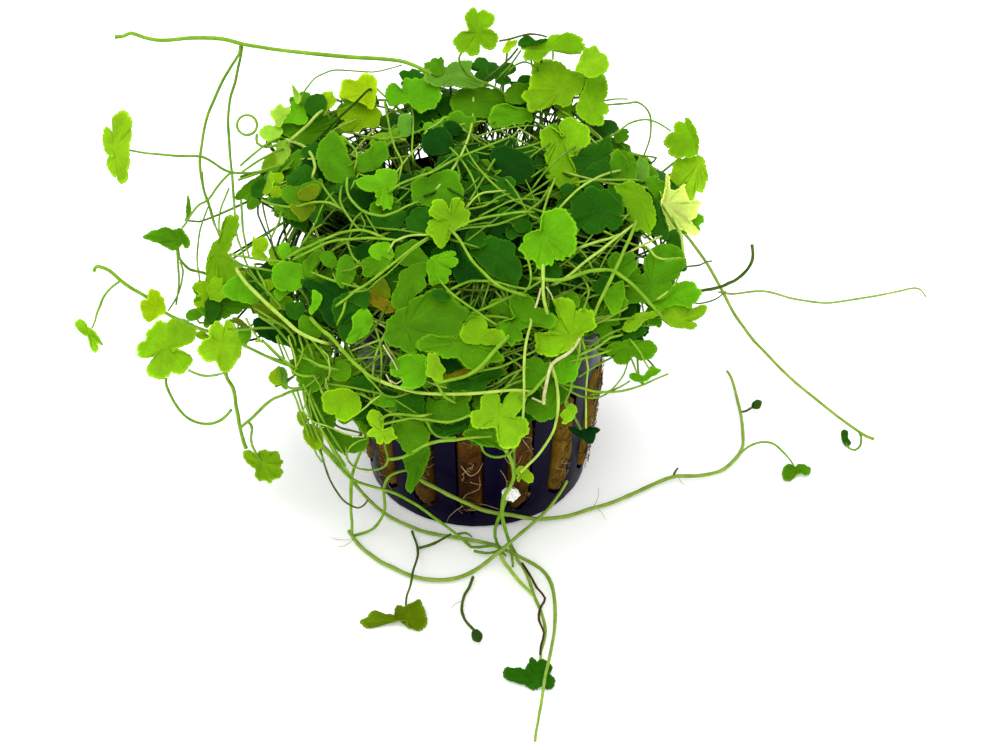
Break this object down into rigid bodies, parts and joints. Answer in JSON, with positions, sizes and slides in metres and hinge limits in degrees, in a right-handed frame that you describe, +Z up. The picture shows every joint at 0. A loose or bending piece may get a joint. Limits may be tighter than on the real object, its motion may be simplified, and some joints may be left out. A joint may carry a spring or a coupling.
{
  "type": "hydrocotyle in a net pot",
  "caption": "Creeping aquarium plant with lobed clover-shaped leaves and trailing runners, growing from rock wool in a slotted plastic net pot.",
  "frame": {"origin": "centre of the net pot's base, on the surface it stands on", "axes": "+Z up; -Y towards the picture's camera; +X to the right in the picture"},
  "size_m": [0.1444, 0.1031, 0.0822],
  "materials": {
    "pot_plastic": "smooth black plastic with a soft sheen",
    "rock_wool": "brown mineral wool matted with fine roots",
    "perlite": "white, chalky",
    "foliage": "groups of thin green clover-shaped leaves on fine stalks",
    "leaf": "smooth thin leaf, semi-gloss",
    "bud": "folded young leaf",
    "stem": "smooth translucent green stem"
  },
  "bodies": {
    "root": {"bud_front": "bud", "bud_right": "bud", "crown_stems": "stem", "foliage_back": "foliage", "foliage_back_left": "foliage", "foliage_crown": "foliage", "foliage_front": "foliage", "foliage_front_left": "foliage", "foliage_left": "foliage", "foliage_right": "foliage", "foliage_right_front": "foliage", "leaf_far_left": "leaf", "leaf_front_crumpled": "leaf", "leaf_front_ground": "leaf", "leaf_front_low": "leaf", "leaf_left_large": "leaf", "leaf_left_small": "leaf", "leaf_left_upper": "leaf", "leaf_left_yellow": "leaf", "leaf_low_left": "leaf", "leaf_lower_left": "leaf", "leaf_right_end": "leaf", "leaf_right_ground": "leaf", "leaf_top": "leaf", "net_pot": "pot_plastic", "perlite_grain": "perlite", "petiole_far_left": "stem", "petiole_front_arch": "stem", "petiole_front_crumpled": "stem", "petiole_front_leaf": "stem", "petiole_front_node": "stem", "petiole_ground_leaf": "stem", "petiole_hang_inner": "stem", "petiole_hang_outer": "stem", "petiole_left_leaf": "stem", "petiole_low_left": "stem", "petiole_right_end": "stem", "petiole_right_long": "stem", "petiole_top_leaf": "stem", "rock_wool": "rock_wool", "runner_front_arc": "stem", "runner_front_long": "stem", "runner_left": "stem", "runner_right": "stem", "runner_right_ground": "stem", "runner_top_left": "stem", "stem_front_mid": "stem", "stem_front_straight": "stem", "stem_left_branch": "stem", "stem_left_drop": "stem", "stem_left_upper": "stem", "stem_loop_left": "stem", "stem_right_bare": "stem"}
  },
  "joints": []
}
